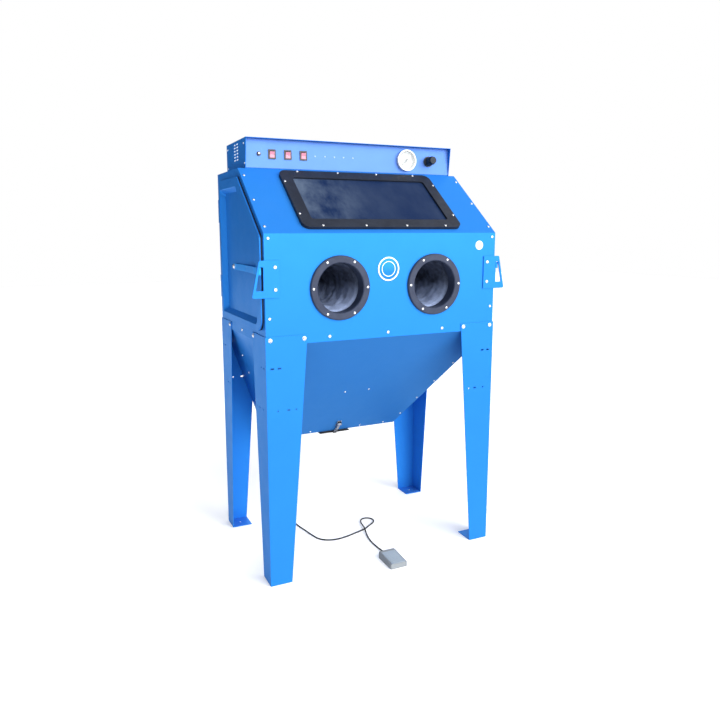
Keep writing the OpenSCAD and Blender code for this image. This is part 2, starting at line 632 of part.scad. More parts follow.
module handle(s) color(blue) right(s) difference() {
    union() {
        translate([0, 0, handle_z - 12]) linear_extrude(24) polygon([[bar_x, handle_y],
            [bar_x, -60], [lip_x - 0.5, -222], [lip_x - 0.5, -hd + 1.4], [lip_x - 8, -hd + 1.4],
            [lip_x - 8, -hd + 4.4], [lip_x - 3.5, -hd + 4.4], [lip_x - 3.5, -222],
            [bar_x - 3, -60], [bar_x - 3, handle_y]]);
        translate([0, handle_y, handle_z]) rod_x(bar_x - 3, bar_x, 12);
    }
    translate([0, handle_y, handle_z]) rod_x(bar_x - 5, bar_x + 2, 4.05);
}
module handle_left() handle(-1);
module handle_right() handle(1);
module pivot(s) color(zinc) right(s) translate([0, handle_y, handle_z]) {
    rod_x(bar_x - 5, bar_x + 12, 4);
    rod_x(bar_x + 0.05, bar_x + 2.98, 11);
    rod_x(bar_x - 4.8, bar_x - 3.05, 10);
    translate([bar_x - 4.8, 0, 0]) rotate([0, -90, 0]) cylinder(h = 4.5, r1 = 7.5, r2 = 5);
    translate([bar_x + 4.55, 0, 0]) rotate([0, 90, 0]) hex(13, 6.5);
}
module pivot_left() pivot(-1);
module pivot_right() pivot(1);

// ---------- drain ----------

module drain_door() color(black * 1.3) difference() {
    union() {
        box([-72, 194, drain_z - 8], [72, 288, drain_z - 5.5]);
        box([-58, 208, drain_z - 5.6], [58, 282, drain_z - 0.05]);
        for (x = [-26, 0, 26]) {
            translate([0, drain_ax[0], drain_ax[1]]) rod_x(x - 9, x + 9, 4);
            box([x - 9, 286, drain_z - 8], [x + 9, drain_ax[0], drain_z - 5.5]);
        }
        box([-8.5, 194, drain_z - 12], [8.5, 197, drain_z - 7]);
    }
    translate([0, drain_ax[0], drain_ax[1]]) rod_x(-60, 60, 2.05);
}
// Toggle lever and bail of the drain's latch, swinging out together.
module drain_latch() color(zinc) on_hopper() difference() {
    union() {
        translate([0, latch_s, latch_t]) rod_x(-7.8, 7.8, 4.6);
        box([-5.5, latch_s - 34, latch_t + 2.8], [5.5, latch_s, latch_t + 4.6]);
        translate([0, latch_s - 34, latch_t + 2.8]) cylinder(h = 1.8, r = 6.5);
        for (x = [-7.2, 4.8]) box([x, 5, latch_t - 1.3], [x + 2.4, latch_s, latch_t + 1.3]);
        box([-7.2, 5, latch_t - 1.3], [7.2, 8.4, latch_t + 1.3]);
    }
    translate([0, latch_s, latch_t]) rod_x(-20, 20, 2.26);
}

// ---------- foot switch ----------

ped_ax = [ped[1] + ped_d / 2 - 8, 13];            // treadle axis, Y and Z
module ped_outline(k) translate(ped) rrect(ped_w - 2 * k, ped_d - 2 * k, 6 - k / 2);
ped_y = [ped[1] - ped_d / 2, ped[1] + ped_d / 2];
function tread_z(y) = 20.5 + 0.0709 * (y - ped_y[0] - 5);   // top of the treadle
module pedal_base() color([0.62, 0.68, 0.74]) {
    difference() {
        intersection() {
            linear_extrude(30) ped_outline(0);
            yz(ped[0] - 50, ped[0] + 50) polygon([[ped_y[0], 0], [ped_y[1], 0], [ped_y[1], 22],
                [ped_y[1] - 3, 27], [ped_y[1] - 16, 27], [ped_y[0] + 2.2, 18.5], [ped_y[0], 13]]);
            xz(ped_y[0] - 5, ped_y[1] + 5) translate([ped[0], 0]) polygon([[-ped_w / 2, 0], [ped_w / 2, 0],
                [ped_w / 2, 12], [ped_w / 2 - 4.5, 28], [-ped_w / 2 + 4.5, 28], [-ped_w / 2, 12]]);
        }
        box([ped[0] - 29.6, ped_y[0] + 3.5, 2.5], [ped[0] + 29.6, ped_ax[0] - 7, 30]);
        box([ped[0] - 14.4, ped_ax[0] - 8, 4], [ped[0] + 14.4, ped_ax[0] + 4.6, 21]);
        translate([ped[0], 0, 9]) rod_y(ped_ax[0] + 4.6, ped_ax[0] + 20, cord_d / 2 + 0.4);
    }
    translate([ped[0], ped[1] - 24, 2]) cylinder(h = 2.5, r = 6);
    translate([0, ped_ax[0], ped_ax[1]]) rod_x(ped[0] - 32, ped[0] + 32, 2);
}
module pedal_treadle() color([0.66, 0.74, 0.84]) difference() {
    union() {
        yz(ped[0] - 29, ped[0] + 29) polygon([[ped_y[0] + 5, 13.5], [ped_y[0] + 5, 20.5],
            [ped_ax[0] - 7.8, tread_z(ped_ax[0] - 7.8)], [ped_ax[0] - 7.8, 13.5]]);
        box([ped[0] - 14, ped_ax[0] - 12, 11], [ped[0] + 14, ped_ax[0], 17]);
        translate([0, ped_ax[0], ped_ax[1]]) rod_x(ped[0] - 14, ped[0] + 14, 4);
        for (k = [0 : 6]) let (y = ped_y[0] + 16 + 9 * k)
            box([ped[0] - 22, y, tread_z(y) - 0.6], [ped[0] + 22, y + 3, tread_z(y) + 0.8]);
    }
    translate([0, ped_ax[0], ped_ax[1]]) rod_x(ped[0] - 20, ped[0] + 20, 2.05);
    yz(ped[0] - 27, ped[0] + 27) polygon([[ped_y[0] + 7, 13], [ped_y[0] + 7, tread_z(ped_y[0] + 7) - 1.9],
        [ped_ax[0] - 23, tread_z(ped_ax[0] - 23) - 1.9], [ped_ax[0] - 23, 13]]);
}
module pedal_spring() color(zinc) translate([ped[0], ped[1] - 24, 4.55])
    for (k = [0 : 8]) translate([0, 0, 1 + 1.65 * k]) rotate_extrude()
        translate([4.5, 0]) circle(0.95, $fn = 12);

// Cord route: out of the gland, down to the floor and round to the foot switch.
route = [[-240, 308, 985], [-240, 318, 985], [-240, 331.5, 982.3], [-240, 342.7, 974.7],
    [-240, 350.3, 963.4], [-240, 353.5, 950], [-240, 353.5, 934], [-240, 353, 900], [-240, 353, 760],
    [-240, 353, 600], [-240, 353, 440], [-240, 353, 280], [-240, 353, 160], [-240, 350, 100],
    [-239, 338, 50], [-237, 312, 16], [-234, 280, 4], [-229, 240, 3.1], [-222, 190, 3.1], [-215, 140, 3.1],
    [-209, 100, 3.1], [-200, 60, 3.1], [-190, 10, 3.1], [-176, -34, 3.1], [-149, -60, 3.1],
    [-112, -70, 3.1], [-68, -66, 3.1], [-15, -51, 3.1], [36, -34, 3.1], [70, -12, 3.1], [100, 9, 3.1],
    [111, 25.5, 3.1], [109, 45, 3.1], [94.7, 59, 3.1], [75, 60.5, 3.1], [59, 48.5, 3.6], [47, 19, 6.2],
    [41, -8, 8.9], [36, -34, 9.4], [27, -66, 7.2], [18, -102, 4], [12, -140, 3.1], [11, -178, 3.1],
    [13, -212, 3.2], [14, -232, 4.3], [15, -252, 6.8], [15, -265, 8.5], [15, -275, 9.1]];
function spline(p, i, t) = let (a = p[max(i - 1, 0)], b = p[i], c = p[i + 1],
    d = p[min(i + 2, len(p) - 1)]) 0.5 * (2 * b + (c - a) * t + (2 * a - 5 * b + 4 * c - d) * t * t
    + (3 * b - a - 3 * c + d) * t * t * t);
line = [for (i = [0 : len(route) - 2]) for (t = i > 5 && i < 12 ? [0] : [0, 0.5]) spline(route, i, t),
    route[len(route) - 1]];
tang = [for (i = [0 : len(line) - 1]) unit(line[min(i + 1, len(line) - 1)] - line[max(i - 1, 0)])];
function side_of(i) = let (p = i == 0 ? [1, 0, 0] : side_of(i - 1)) unit(p - (p * tang[i]) * tang[i]);
module pedal_cord() color(black) {
    n = len(line);
    k = 10;
    polyhedron(
        points = [for (i = [0 : n - 1]) let (u = side_of(i), w = cross(tang[i], u))
            for (j = [0 : k - 1]) line[i] + cord_d / 2 * (u * cos(360 * j / k) + w * sin(360 * j / k))],
        faces = concat([[for (j = [k - 1 : -1 : 0]) j]], [[for (j = [0 : k - 1]) (n - 1) * k + j]],
            [for (i = [0 : n - 2]) for (j = [0 : k - 1])
                for (f = [[i * k + j, i * k + (j + 1) % k, (i + 1) * k + (j + 1) % k],
                    [i * k + j, (i + 1) * k + (j + 1) % k, (i + 1) * k + j]]) f]));
}

front_panel();
side_frame_left();
side_frame_right();
top_panel();
rear_panel();
hopper_front();
hopper_rear();
hopper_left();
hopper_right();
hopper_bottom();
leg_front_left();
leg_front_right();
leg_rear_left();
leg_rear_right();
leg_bolts();
panel_screws();
window_frame();
window_glass();
trim_screws();
port_rings();
gloves();
glove_clamps();
keepers();
work_grate();
grate_rails();
lamp_fitting();
lamp_tube();
console_shell();
console_fascia();
switch_bezels();
fuse_holder();
gauge_case();
gauge_dial();
gauge_lens();
regulator_body();
exhaust_spigot();
air_inlet();
mains_inlet();
cord_gland();
door_hinges();
drain_fittings();
pedal_base();
pedal_cord();
pedal_spring();
door_left();
door_right();
gasket_left();
gasket_right();
handle_left();
handle_right();
pivot_left();
pivot_right();
rocker_1();
rocker_2();
rocker_3();
gauge_needle();
regulator_knob();
drain_door();
drain_latch();
pedal_treadle();
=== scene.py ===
import json
import math
import random

import bmesh
import bpy
from mathutils import Matrix, Vector, noise


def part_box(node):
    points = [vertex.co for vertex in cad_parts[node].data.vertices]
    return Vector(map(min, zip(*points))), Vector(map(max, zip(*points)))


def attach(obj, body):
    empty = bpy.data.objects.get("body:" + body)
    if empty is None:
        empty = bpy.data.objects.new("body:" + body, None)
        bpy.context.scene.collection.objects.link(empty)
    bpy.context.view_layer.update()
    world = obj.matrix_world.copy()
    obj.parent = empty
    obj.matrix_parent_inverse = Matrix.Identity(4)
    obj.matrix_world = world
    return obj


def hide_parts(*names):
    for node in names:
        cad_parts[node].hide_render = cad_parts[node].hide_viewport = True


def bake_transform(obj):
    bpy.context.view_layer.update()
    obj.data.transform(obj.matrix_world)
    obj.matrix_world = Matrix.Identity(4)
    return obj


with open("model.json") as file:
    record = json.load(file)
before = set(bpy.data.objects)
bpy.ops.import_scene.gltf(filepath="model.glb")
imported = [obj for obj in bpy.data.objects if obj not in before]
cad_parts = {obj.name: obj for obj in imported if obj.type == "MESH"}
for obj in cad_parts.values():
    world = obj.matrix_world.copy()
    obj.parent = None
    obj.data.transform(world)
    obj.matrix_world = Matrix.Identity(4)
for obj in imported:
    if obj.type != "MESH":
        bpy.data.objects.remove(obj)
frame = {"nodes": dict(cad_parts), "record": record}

random.seed(7)
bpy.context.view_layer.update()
N = frame["nodes"]
MM = 0.001
scene = bpy.context.scene
scene.view_settings.view_transform = "Standard"
scene.view_settings.look = "None"

# ------------------------------------------------------------------ camera


def place_camera():
    az, pitch, roll = math.radians(24.10), math.radians(9.29), math.radians(-0.24)
    d = Vector((math.sin(az) * math.cos(pitch), math.cos(az) * math.cos(pitch), -math.sin(pitch)))
    r = Vector((math.cos(az), -math.sin(az), 0))
    u = r.cross(d)
    r2 = r * math.cos(roll) + u * math.sin(roll)
    u2 = u * math.cos(roll) - r * math.sin(roll)
    cam = bpy.data.objects.new("camera", bpy.data.cameras.new("camera"))
    turn = Matrix((r2, u2, -d)).transposed().to_4x4()
    cam.matrix_world = Matrix.Translation((-1.1176, -2.3595, 1.2561)) @ turn
    cam.data.sensor_width = 36
    cam.data.lens = 32.05
    cam.data.shift_x, cam.data.shift_y = 0.0285, -0.0288
    cam.data.clip_end = 60
    scene.collection.objects.link(cam)
    scene.camera = cam


place_camera()

# ------------------------------------------------------------------ nodes and materials


class Mat:
    """A Principled material and short ways to add nodes to it."""

    def __init__(self, name, colour, rough=0.5, metal=0.0, **sockets):
        self.m = bpy.data.materials.new(name)
        self.m.use_nodes = True
        self.t = self.m.node_tree
        self.p = self.t.nodes["Principled BSDF"]
        self.p.inputs["Base Color"].default_value = (*colour, 1)
        self.p.inputs["Roughness"].default_value = rough
        self.p.inputs["Metallic"].default_value = metal
        for k, v in sockets.items():
            self.p.inputs[k.replace("_", " ")].default_value = v
        self.co = self.node("ShaderNodeTexCoord").outputs["Object"]

    def node(self, kind, **props):
        n = self.t.nodes.new(kind)
        for k, v in props.items():
            setattr(n, k, v)
        return n

    def link(self, a, b):
        self.t.links.new(a, b)
        return b

    def noise(self, scale, detail=3.0, rough=0.55, stretch=None):
        n = self.node("ShaderNodeTexNoise")
        n.inputs["Scale"].default_value = scale
        n.inputs["Detail"].default_value = detail
        n.inputs["Roughness"].default_value = rough
        co = self.co
        if stretch:
            g = self.node("ShaderNodeMapping")
            g.inputs["Scale"].default_value = stretch
            self.link(co, g.inputs["Vector"])
            co = g.outputs["Vector"]
        self.link(co, n.inputs["Vector"])
        return n.outputs["Fac"]

    def ramp(self, fac, lo, hi, a=0.0, b=1.0):
        n = self.node("ShaderNodeMapRange", clamp=True)
        for k, v in zip(("From Min", "From Max", "To Min", "To Max"), (lo, hi, a, b)):
            n.inputs[k].default_value = v
        self.link(fac, n.inputs["Value"])
        return n.outputs["Result"]

    def maths(self, op, a, b=0.0):
        n = self.node("ShaderNodeMath", operation=op)
        for i, v in enumerate((a, b)):
            if isinstance(v, (int, float)):
                n.inputs[i].default_value = v
            else:
                self.link(v, n.inputs[i])
        return n.outputs[0]

    def mix(self, fac, a, b):
        n = self.node("ShaderNodeMix", data_type="RGBA")
        self.link(fac, n.inputs["Factor"])
        for sock, v in ((n.inputs["A"], a), (n.inputs["B"], b)):
            if isinstance(v, tuple):
                sock.default_value = (*v, 1)
            else:
                self.link(v, sock)
        return n.outputs["Result"]

    def bump(self, height, strength, distance=0.001, normal=None):
        n = self.node("ShaderNodeBump")
        n.inputs["Strength"].default_value = strength
        n.inputs["Distance"].default_value = distance
        self.link(height, n.inputs["Height"])
        if normal:
            self.link(normal, n.inputs["Normal"])
        return n.outputs["Normal"]

    def axis(self, which, source="position"):
        s = self.node("ShaderNodeSeparateXYZ")
        if source == "position":
            self.link(self.co, s.inputs[0])
        else:
            self.link(self.node("ShaderNodeNewGeometry").outputs["Normal"], s.inputs[0])
        return s.outputs[which]

    def out(self, sock, name):
        self.link(sock, self.p.inputs[name])


def edges(m, radius):
    """Rounded normal and a mask of the edges."""
    b = m.node("ShaderNodeBevel", samples=6)
    b.inputs["Radius"].default_value = radius
    g = m.node("ShaderNodeNewGeometry")
    v = m.node("ShaderNodeVectorMath", operation="DOT_PRODUCT")
    m.link(b.outputs["Normal"], v.inputs[0])
    m.link(g.outputs["Normal"], v.inputs[1])
    return b.outputs["Normal"], m.ramp(v.outputs["Value"], 0.97, 0.75)


def paint(name, colour, rough=0.34, dust=0.06):
    """Powder coat: orange peel, faint clouding, a little dust on top faces and scuffed feet."""
    m = Mat(name, colour, rough, 0.30, Specular_IOR_Level=0.05)
    m.p.inputs["Specular Tint"].default_value = (0.35, 0.75, 1.0, 1)
    normal, _ = edges(m, 0.0012)
    dark = tuple(c * 0.96 for c in colour)
    col = m.mix(m.ramp(m.noise(2.6, 4, 0.6), 0.3, 0.7), dark, colour)
    up = m.ramp(m.axis("Z", "normal"), 0.75, 1.0)
    film = m.maths("MULTIPLY", up, m.ramp(m.noise(9, 6, 0.65), 0.35, 0.75, dust * 0.4, dust * 1.8))
    col = m.mix(film, col, (0.42, 0.50, 0.58))
    low = m.ramp(m.axis("Z"), 0.10, 0.0)
    scuff = m.ramp(m.noise(26, 6, 0.7, (1, 1, 0.25)), 0.56, 0.70)
    col = m.mix(m.maths("MULTIPLY", m.maths("MULTIPLY", low, scuff), 0.30), col, (0.04, 0.07, 0.12))
    m.out(col, "Base Color")
    m.out(m.maths("ADD", m.ramp(m.noise(14, 5), 0.3, 0.7, rough - 0.03, rough + 0.05),
                  m.maths("MULTIPLY", film, 0.5)), "Roughness")
    m.out(m.bump(m.noise(420, 2, 0.5), 0.07, 0.0005, normal), "Normal")
    return m.m


def steel(name, colour, rough, bump=0.05, dirt=0.0):
    m = Mat(name, colour, rough, 1.0)
    normal, _ = edges(m, 0.0006)
    n = m.ramp(m.noise(60, 5, 0.6), 0.3, 0.7)
    col = m.mix(n, tuple(c * 0.82 for c in colour), colour)
    if dirt:
        col = m.mix(m.ramp(m.noise(45, 6, 0.7), 0.48, 0.64, 0, dirt), col, (0.12, 0.10, 0.09))
    m.out(col, "Base Color")
    m.out(m.ramp(m.noise(90, 3, 0.6), 0.3, 0.7, rough - 0.08, rough + 0.12), "Roughness")
    m.out(m.bump(m.noise(700, 2), bump, 0.0003, normal), "Normal")
    return m.m


def rubber(name, colour, pale_colour, rough=0.55, dust=0.35, bump=0.12, scale=500, low=0.0):
    m = Mat(name, colour, rough, Specular_IOR_Level=0.25)
    normal, _ = edges(m, 0.0012)
    d = m.ramp(m.noise(22, 7, 0.7), 0.40, 0.72, 0, dust)
    # Faces turned upward are mixed towards the pale colour by the amount low, so they read lighter.
    if low:
        down = m.ramp(m.axis("Z", "normal"), -0.2, 0.9, 0, low)
        d = m.maths("MAXIMUM", d, m.maths("MULTIPLY", down, m.ramp(m.noise(30, 6, 0.7), 0.25, 0.7, 0.45, 1)))
    m.out(m.mix(d, colour, pale_colour), "Base Color")
    m.out(m.ramp(m.noise(40, 4), 0.3, 0.7, rough - 0.08, rough + 0.1), "Roughness")
    m.out(m.bump(m.noise(scale, 3), bump, 0.0006, normal), "Normal")
    return m.m


def plastic(name, colour, rough=0.4, grain=1500, bump=0.15, **k):
    m = Mat(name, colour, rough, **k)
    normal, edge = edges(m, 0.0007)
    c = m.mix(m.ramp(m.noise(7, 4), 0.3, 0.7), tuple(v * 0.9 for v in colour), colour)
    c = m.mix(m.maths("MULTIPLY", edge, 0.25), c, tuple(min(1, v * 1.6 + 0.03) for v in colour))
    m.out(c, "Base Color")
    m.out(m.ramp(m.noise(50, 4), 0.3, 0.7, rough - 0.06, rough + 0.08), "Roughness")
    m.out(m.bump(m.noise(grain, 2), bump, 0.0002, normal), "Normal")
    return m.m


def pane(name, colour, alpha, rough, film=0.0, haze_colour=(1, 1, 1), specular=0.5):
    """Sheet glass, with a wiped haze that is thicker towards its left end."""
    m = Mat(name, colour, rough, Specular_IOR_Level=specular)
    m.p.inputs["Specular Tint"].default_value = (0.5, 0.75, 1.0, 1)
    left = m.ramp(m.axis("X"), 0.0, -0.28, 0.12, 1.0)
    wiped = m.ramp(m.noise(4.5, 5, 0.62, (1.6, 1, 0.8)), 0.36, 0.66, 0, 1)
    haze = m.maths("MULTIPLY", m.maths("MULTIPLY", left, wiped), film)
    m.out(m.mix(haze, colour, haze_colour), "Base Color")
    m.out(m.ramp(haze, 0, 0.5, alpha, min(1, alpha + 0.04)), "Alpha")
    m.out(m.ramp(m.noise(30, 5, 0.7), 0.35, 0.75, rough, rough + 0.06), "Roughness")
    return m.m


BLUE = (0.019, 0.172, 0.560)
M = {
    "blue_paint": paint("blue_powder_coat", BLUE),
    # Greyer, lighter copy of the blue paint for the tilted fascia: painted sheen.
    "fascia_paint": paint("console_paint_painted_sheen", (0.088, 0.185, 0.50), 0.40),
    # Darker, greyer copy of the blue paint for the downward-facing hopper: painted shade and painted haze.
    "hopper_paint_painted_shade": paint("hopper_paint_painted_shade", (0.026, 0.145, 0.41), 0.42),
    # Lighter copy of the blue paint for the door levers: painted light on the bent bars.
    "lever_paint_painted_light": paint("lever_paint_painted_light", (0.024, 0.27, 0.78), 0.30),
    "zinc": steel("zinc_plate", (0.80, 0.81, 0.82), 0.24),
    "grate_steel": steel("dusty_steel", (0.36, 0.36, 0.37), 0.5, 0.3, 0.6),
    "zinc_dull": steel("dull_latch_steel", (0.34, 0.36, 0.40), 0.38, 0.1, 0.25),
    "black_rubber": rubber("black_rubber", (0.006, 0.009, 0.018), (0.026, 0.036, 0.060), 0.45, 0.25),
    "port_rubber": rubber("port_ring_rubber", (0.016, 0.023, 0.048), (0.042, 0.056, 0.100), 0.42, 0.45),
    # Glove rubber turns pale blue-grey on its upward faces and in noise patches.
    "glove_rubber": rubber("glove_rubber_pale_upward", (0.012, 0.016, 0.030), (0.46, 0.57, 0.86), 0.5, 0.16, 0.25,
                           260, 0.95),
    "safety_glass": pane("dusty_glass", (0.004, 0.014, 0.052), 0.96, 0.14, 1.0, (0.085, 0.115, 0.165), 0.08),
    "black_plastic": plastic("black_plastic", (0.012, 0.012, 0.014), 0.35),
    "gauge_white": plastic("dial_white", (0.43, 0.43, 0.405), 0.45, Specular_IOR_Level=0.2),
    "gauge_clear": pane("clear_lens", (0.8, 0.85, 0.88), 0.12, 0.03),
    "lamp_white": plastic("white_enamel", (0.82, 0.82, 0.79), 0.25),
    "lamp_glass": plastic("frosted_lamp", (0.90, 0.90, 0.86), 0.3),
    "brass": steel("brass", (0.72, 0.52, 0.22), 0.28),
    "pedal_grey": plastic("pedal_plastic", (0.29, 0.345, 0.40), 0.55, 900, 0.3, Specular_IOR_Level=0.25),
    "pedal_case": plastic("pedal_case_plastic", (0.225, 0.245, 0.26), 0.6, 900, 0.3, Specular_IOR_Level=0.2),
    "fascia_mark": plastic("fascia_mark", (0.30, 0.42, 0.62), 0.5),
    # Pale filter pad colour with a glow: painted light that makes the console's vent slots read bright.
    "vent_pad": plastic("glowing_filter_pad", (0.70, 0.78, 0.86), 0.9, 600, 0.8, Emission_Strength=0.35,
                        Emission_Color=(0.85, 0.93, 1.0, 1)),
    "knob_plastic": plastic("knob_plastic", (0.005, 0.011, 0.022), 0.38, Specular_IOR_Level=0.25),
    "cord_black": rubber("cord_sheath", (0.008, 0.008, 0.010), (0.03, 0.03, 0.03), 0.5, 0.2, 0.05),
    "ink": plastic("dial_ink", (0.015, 0.015, 0.018), 0.5),
    "badge": plastic("white_badge", (0.84, 0.87, 0.89), 0.3),
}
_lit = Mat("lit_rocker", (0.44, 0.17, 0.25), 0.25, Emission_Strength=0.10)
_lit.p.inputs["Emission Color"].default_value = (1.0, 0.35, 0.42, 1)
_cloud = _lit.ramp(_lit.noise(120, 4), 0.3, 0.7)
_lit.out(_lit.mix(_cloud, (0.38, 0.13, 0.20), (0.48, 0.19, 0.27)), "Base Color")
_lit.out(_lit.bump(_lit.noise(900, 2), 0.06, 0.0002, edges(_lit, 0.0007)[0]), "Normal")
M["rocker_red"] = _lit.m

slot_of = {s["node"]: s["material_slot"] for s in frame["record"]["subparts"]}
OVER = {"port_rings": "port_rubber", "pedal_base": "pedal_case",
        "regulator_knob": "knob_plastic", "drain_latch": "zinc_dull", "drain_fittings": "zinc_dull",
        "handle_left": "lever_paint_painted_light", "handle_right": "lever_paint_painted_light", "hopper_front": "hopper_paint_painted_shade"}
for name, ob in N.items():
    ob.data.materials.clear()
    ob.data.materials.append(M[OVER.get(name, slot_of[name])])

# ------------------------------------------------------------------ making pieces


SLOTS = {s["slot"] for s in frame["record"]["materials"]}


def piece(name, verts, faces, mat, body="cabinet", smooth=True, slot=None):
    me = bpy.data.meshes.new(name)
    me.from_pydata([tuple(v) for v in verts], [], faces)
    me.validate()
    me.update()
    me.materials.append(M[mat])
    for p in me.polygons:
        p.use_smooth = smooth
    ob = bpy.data.objects.new(name, me)
    scene.collection.objects.link(ob)
    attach(ob, body)
    slot or (mat if mat in SLOTS else "black_plastic")
    return ob


def creased(ob, angle=35):
    """Sharp edges stay sharp under smooth shading."""
    bm = bmesh.new()
    bm.from_mesh(ob.data)
    lim = math.radians(angle)
    for e in bm.edges:
        if len(e.link_faces) == 2 and e.calc_face_angle(0) > lim:
            e.smooth = False
    bm.to_mesh(ob.data)
    bm.free()
    return ob


def lathe(profile, seg=48):
    """Closed or open profile of (r, z) turned about Z."""
    v, f = [], []
    for r, z in profile:
        turn = [2 * math.pi * k / seg for k in range(seg)]
        v += [Vector((r * math.cos(a), r * math.sin(a), z)) for a in turn]
    for i in range(len(profile) - 1):
        for k in range(seg):
            a, b = i * seg + k, i * seg + (k + 1) % seg
            f.append((a, b, b + seg, a + seg))
    return v, f


def band(i, seg):
    """Quads that join ring i - 1 to ring i, for rings of seg points."""
    a, b = (i - 1) * seg, i * seg
    return [(a + k, a + (k + 1) % seg, b + (k + 1) % seg, b + k) for k in range(seg)]


def joined(parts):
    v, f = [], []
    for pv, pf in parts:
        n = len(v)
        v += list(pv)
        f += [tuple(i + n for i in q) for q in pf]
    return v, f


def moved(part, m):
    return [m @ Vector(p) for p in part[0]], part[1]


FA = math.pi / 2 - math.atan2(6.5, 110)
FASCIA = Matrix.Translation((0, -0.0065, 1.498)) @ Matrix.Rotation(FA, 4, "X")
UPRIGHT = Matrix.Rotation(math.pi / 2, 4, "X")

# ------------------------------------------------------------------ cord

ROUTE = [(-240, 308, 985), (-240, 318, 985), (-240, 331.5, 982.3), (-240, 342.7, 974.7), (-240, 350.3, 963.4),
         (-240, 353.5, 950), (-240, 353.5, 934), (-240, 353, 900), (-240, 353, 760), (-240, 353, 600),
         (-240, 353, 440), (-240, 353, 280), (-240, 353, 160), (-240, 350, 100), (-239, 338, 50),
         (-237, 312, 16), (-234, 280, 4), (-229, 240, 3.1), (-222, 190, 3.1), (-215, 140, 3.1),
         (-209, 100, 3.1), (-200, 60, 3.1), (-190, 10, 3.1), (-176, -34, 3.1), (-149, -60, 3.1),
         (-112, -70, 3.1), (-68, -66, 3.1), (-15, -51, 3.1), (36, -34, 3.1), (70, -12, 3.1), (100, 9, 3.1),
         (111, 25.5, 3.1), (109, 45, 3.1), (94.7, 59, 3.1), (75, 60.5, 3.1), (59, 48.5, 3.6), (47, 19, 6.2),
         (41, -8, 8.9), (36, -34, 9.4), (27, -66, 7.2), (18, -102, 4), (12, -140, 3.1), (11, -178, 3.1),
         (13, -212, 3.2), (14, -232, 4.3), (15, -252, 6.8), (15, -265, 8.5), (15, -275, 9.1)]


def make_spring():
    """The foot switch's return spring as a fixed coil; the real one shortens as the treadle goes down."""
    (x0, y0, z0), (x1, y1, z1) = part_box("pedal_spring")
    wire, turns, steps, sides = 0.00094, 8, 24, 8
    mean, cx, cy = (x1 - x0) / 2 - wire, (x0 + x1) / 2, (y0 + y1) / 2
    v, f, n = [], [], turns * steps + 1
    for i in range(n):
        a = 2 * math.pi * i / steps
        out = Vector((math.cos(a), math.sin(a), 0))
        at = Vector((cx, cy, z0 + wire + (z1 - z0 - 2 * wire) * i / (n - 1))) + out * mean
        for k in range(sides):
            b = 2 * math.pi * k / sides
            v.append(at + out * wire * math.cos(b) + Vector((0, 0, wire * math.sin(b))))
        if i:
            f += band(i, sides)
    f += [tuple(range(sides)), tuple(range((n - 1) * sides, n * sides))]
    me = bpy.data.meshes.new("return_spring")
    me.from_pydata([tuple(p) for p in v], [], f)
    me.materials.append(M["zinc"])
    for p in me.polygons:
        p.use_smooth = True
    ob = bpy.data.objects.new("return_spring", me)
    scene.collection.objects.link(ob)
    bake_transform(ob)
    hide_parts("pedal_spring")
    return ob


def catmull(p, i, t):
    a, b, c, d = (Vector(p[min(max(k, 0), len(p) - 1)]) for k in (i - 1, i, i + 1, i + 2))
    square, cube = 2 * a - 5 * b + 4 * c - d, 3 * b - a - 3 * c + d
    return 0.5 * (2 * b + (c - a) * t + square * t * t + cube * t ** 3)


def make_cord():
    pts = [catmull(ROUTE, i, t / 4) * MM for i in range(len(ROUTE) - 1) for t in range(4)]
    pts.append(Vector(ROUTE[-1]) * MM)
    cu = bpy.data.curves.new("pedal_lead", "CURVE")
    cu.dimensions = "3D"
    sp = cu.splines.new("POLY")
    sp.points.add(len(pts) - 1)
    for q, p in zip(sp.points, pts):
        q.co = (*p, 1)
    cu.bevel_depth = 0.003
    cu.bevel_resolution = 4
    cu.use_fill_caps = True
    cu.materials.append(M["cord_black"])
    ob = bpy.data.objects.new("pedal_lead", cu)
    scene.collection.objects.link(ob)
    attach(ob, "cabinet")
    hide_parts("pedal_cord")
    length = sum((b - a).length for a, b in zip(pts, pts[1:]))

    def boot(name, steps, radii):
        v, f = [], []
        for k, (i, r) in enumerate(zip(steps, radii)):
            d = (pts[min(i + 1, len(pts) - 1)] - pts[max(i - 1, 0)]).normalized()
            q = d.to_track_quat("Z", "Y")
            for j in range(20):
                rr = r * (1 - 0.12 * (k % 2))
                a = j * math.pi / 10
                v.append(pts[i] + q @ Vector((rr * math.cos(a), rr * math.sin(a), 0)))
            if k:
                f += band(k, 20)
        f += [tuple(range(19, -1, -1)), tuple(range((len(radii) - 1) * 20, len(radii) * 20))]
        return piece(name, v, f, "cord_black")

    n = len(pts)
    one = boot("gland_boot", range(2, 10), [0.0062, 0.0060, 0.0056, 0.0052, 0.0049, 0.0045, 0.0042, 0.0036])
    two = boot("pedal_boot", range(n - 2, n - 9, -1),
               [0.0060, 0.0056, 0.0052, 0.0048, 0.0044, 0.0040, 0.0034])
    return length


SPRING = make_spring()
CORD_LENGTH = make_cord()

# ------------------------------------------------------------------ screws


def islands(ob):
    """Each loose solid of a CAD node as (points, faces' normals and areas)."""
    bm = bmesh.new()
    bm.from_mesh(ob.data)
    bmesh.ops.remove_doubles(bm, verts=bm.verts, dist=1e-6)
    bm.faces.ensure_lookup_table()
    done = set()
    for f0 in bm.faces:
        if f0.index in done:
            continue
        stack, got = [f0], []
        done.add(f0.index)
        while stack:
            f = stack.pop()
            got.append(f)
            for e in f.edges:
                for g in e.link_faces:
                    if g.index not in done:
                        done.add(g.index)
                        stack.append(g)
        corners = {v for f in got for v in f.verts}
        yield [v.co.copy() for v in corners], [(f.normal.copy(), f.calc_area()) for f in got]
    bm.free()


